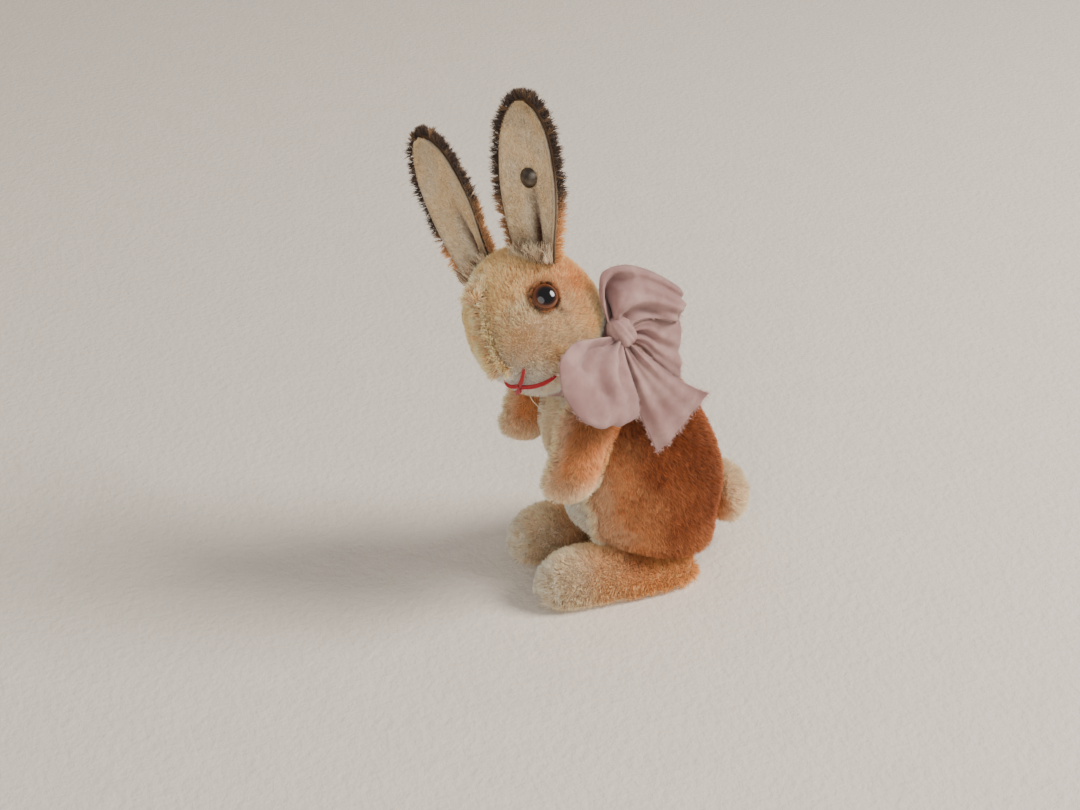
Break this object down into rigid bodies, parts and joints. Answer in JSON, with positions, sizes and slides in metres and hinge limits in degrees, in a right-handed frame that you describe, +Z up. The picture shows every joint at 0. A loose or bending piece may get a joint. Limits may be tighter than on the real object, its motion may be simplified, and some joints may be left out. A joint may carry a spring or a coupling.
{
  "type": "stuffed rabbit",
  "caption": "Small sitting mohair rabbit with a turning head, swinging arms, upright velvet-lined ears, glass eyes and a silk neck bow.",
  "frame": {"origin": "on the ground, under the middle of the whole outline seen from above", "axes": "+Z up, -Y the way the body faces, +X its left side"},
  "size_m": [0.0636, 0.0756, 0.129],
  "materials": {
    "plush_rust": "short mohair pile, airbrushed",
    "plush_gold": "short mohair pile, airbrushed",
    "plush_cream": "short mohair pile",
    "velvet": "short-pile velvet",
    "stuffing": "packed wool stuffing",
    "silk": "crepe silk",
    "red_thread": "twisted cotton thread",
    "whisker_thread": "plain linen thread",
    "eye_glass": "polished",
    "pupil": "polished",
    "stud_metal": "dull, plain and unmarked",
    "wire": "drawn wire",
    "board": "plain"
  },
  "bodies": {
    "torso": {"body_side_left": "plush_rust", "body_side_right": "plush_rust", "belly_panel": "plush_cream", "body_stuffing": "stuffing", "arm_wire": "wire", "arm_washers": "wire", "neck_disc_body": "board", "neck_pin": "wire", "neck_washers": "wire", "foot_upper_left": "plush_cream", "foot_sole_left": "velvet", "foot_insole_left": "board", "foot_stuffing_left": "stuffing", "foot_upper_right": "plush_cream", "foot_sole_right": "velvet", "foot_insole_right": "board", "foot_stuffing_right": "stuffing", "tail": "plush_cream", "ribbon_band": "silk", "ribbon_knot": "silk", "ribbon_loop_upper": "silk", "ribbon_loop_lower": "silk", "ribbon_tail_front": "silk", "ribbon_tail_back": "silk"},
    "head": {"head_side_left": "plush_gold", "head_side_right": "plush_gold", "head_stuffing": "stuffing", "ear_back_left": "plush_gold", "ear_back_right": "plush_gold", "ear_lining_left": "velvet", "ear_lining_right": "velvet", "ear_stud": "stud_metal", "ear_stud_washer": "stud_metal", "eye_glass_left": "eye_glass", "eye_glass_right": "eye_glass", "eye_pupils": "pupil", "eye_shanks": "wire", "nose_stitching": "red_thread", "mouth_stitching": "red_thread", "whisker_thread": "whisker_thread", "neck_disc_head": "board"},
    "arm_left": {"arm_outer_left": "plush_gold", "arm_inner_left": "plush_cream", "arm_stuffing_left": "stuffing", "arm_disc_left": "board"},
    "arm_right": {"arm_outer_right": "plush_gold", "arm_inner_right": "plush_cream", "arm_stuffing_right": "stuffing", "arm_disc_right": "board"}
  },
  "joints": [
    {"name": "head_swivel", "type": "hinge", "parent": "torso", "child": "head", "pos_m": [0.00626, -0.00994, 0.066], "axis": [0, -0.7071, 0.7071], "range_deg": [-132, 48]},
    {"name": "arm_left_swing", "type": "hinge", "parent": "torso", "child": "arm_left", "pos_m": [0.02226, -0.01044, 0.0545], "axis": [-1, 0, 0], "range_deg": [-5, 80]},
    {"name": "arm_right_swing", "type": "hinge", "parent": "torso", "child": "arm_right", "pos_m": [-0.00974, -0.01044, 0.0545], "axis": [-1, 0, 0], "range_deg": [-5, 80]}
  ]
}
